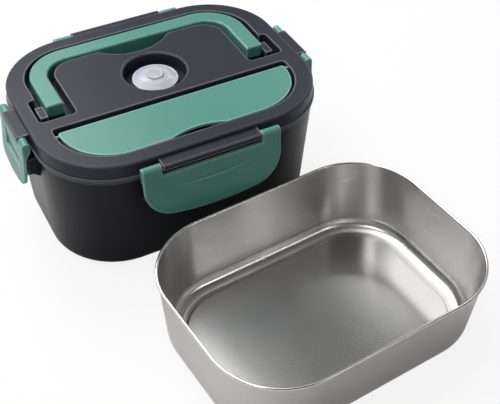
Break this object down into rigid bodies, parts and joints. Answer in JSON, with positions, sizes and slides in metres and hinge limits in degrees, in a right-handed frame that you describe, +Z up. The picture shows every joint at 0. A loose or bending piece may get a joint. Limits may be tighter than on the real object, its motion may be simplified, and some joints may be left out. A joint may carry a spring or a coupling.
{
  "type": "electric lunch box",
  "caption": "Electric lunch box with a heated liner, lid with folding carry handle, vent plug and cutlery tray, side clips, and a loose steel food container.",
  "frame": {"origin": "centre of the box's base, on the surface that it stands on", "axes": "+X along the box's length, +Y from its front (the side with the container) to its back, +Z up"},
  "size_m": [0.2645, 0.3685, 0.1085],
  "materials": {
    "housing_plastic": "satin black moulded plastic",
    "lid_plastic": "satin charcoal moulded plastic",
    "green_plastic": "satin green moulded plastic",
    "silicone": "translucent bluish-white silicone",
    "steel": "brushed stainless steel",
    "pin_steel": "drawn steel",
    "plate_aluminium": "fine-turned aluminium",
    "rubber": "black rubber",
    "seal_rubber": "grey silicone",
    "liner_plastic": "matt black moulded plastic",
    "inner_plastic": "pale grey moulded plastic",
    "inlet_plastic": "black moulded plastic",
    "contact_brass": "plain brass",
    "heater_ceramic": "pressed aluminium sleeve",
    "pad_felt": "pale insulating felt",
    "lead_sleeve": "silicone-insulated lead"
  },
  "bodies": {
    "base": {"base_housing": "housing_plastic", "bottom_cover": "housing_plastic", "rubber_feet": "rubber", "bottom_screws": "pin_steel", "inner_liner": "liner_plastic", "heating_plate": "plate_aluminium", "plate_seal": "seal_rubber", "plate_screws": "pin_steel", "ptc_heater": "heater_ceramic", "insulation_pad": "pad_felt", "heater_clamp": "pin_steel", "clamp_screws": "pin_steel", "thermostat": "heater_ceramic", "thermal_fuse": "heater_ceramic", "power_inlet": "inlet_plastic", "inlet_contacts": "contact_brass", "wiring": "lead_sleeve"},
    "lid": {"lid_shell": "lid_plastic", "lid_inner_cover": "inner_plastic", "lid_seal": "seal_rubber", "handle_pins": "pin_steel", "long_clip_pins": "pin_steel", "short_clip_pins": "pin_steel"},
    "handle": {"carry_handle": "green_plastic"},
    "cutlery_cover": {"cutlery_cover": "green_plastic"},
    "vent_plug": {"vent_plug": "silicone"},
    "latch_front": {"latch_front": "green_plastic"},
    "latch_rear": {"latch_rear": "green_plastic"},
    "latch_left": {"latch_left": "green_plastic"},
    "latch_right": {"latch_right": "green_plastic"},
    "container": {"food_container": "steel"}
  },
  "joints": [
    {"name": "lid_lift", "type": "slide", "parent": "base", "child": "lid", "axis": [0, 0, 1], "range_m": [0, 0.12]},
    {"name": "handle_hinge", "type": "hinge", "parent": "lid", "child": "handle", "pos_m": [0, 0.0058, 0.1008], "axis": [1, 0, 0], "range_deg": [0, 90]},
    {"name": "cutlery_cover_hinge", "type": "hinge", "parent": "lid", "child": "cutlery_cover", "pos_m": [0, -0.0306, 0.1047], "axis": [-1, 0, 0], "range_deg": [0, 95]},
    {"name": "vent_plug_lift", "type": "slide", "parent": "lid", "child": "vent_plug", "axis": [0, 0, 1], "range_m": [0, 0.004]},
    {"name": "latch_front_hinge", "type": "hinge", "parent": "lid", "child": "latch_front", "pos_m": [0, -0.0898, 0.101], "axis": [-1, 0, 0], "range_deg": [0, 105]},
    {"name": "latch_rear_hinge", "type": "hinge", "parent": "lid", "child": "latch_rear", "pos_m": [0, 0.0898, 0.101], "axis": [1, 0, 0], "range_deg": [0, 105]},
    {"name": "latch_left_hinge", "type": "hinge", "parent": "lid", "child": "latch_left", "pos_m": [-0.1146, 0, 0.101], "axis": [0, 1, 0], "range_deg": [0, 105]},
    {"name": "latch_right_hinge", "type": "hinge", "parent": "lid", "child": "latch_right", "pos_m": [0.1146, 0, 0.101], "axis": [0, -1, 0], "range_deg": [0, 105]},
    {"name": "container_lift", "type": "slide", "parent": "base", "child": "container", "axis": [0, 0, 1], "range_m": [0, 0.12]}
  ]
}
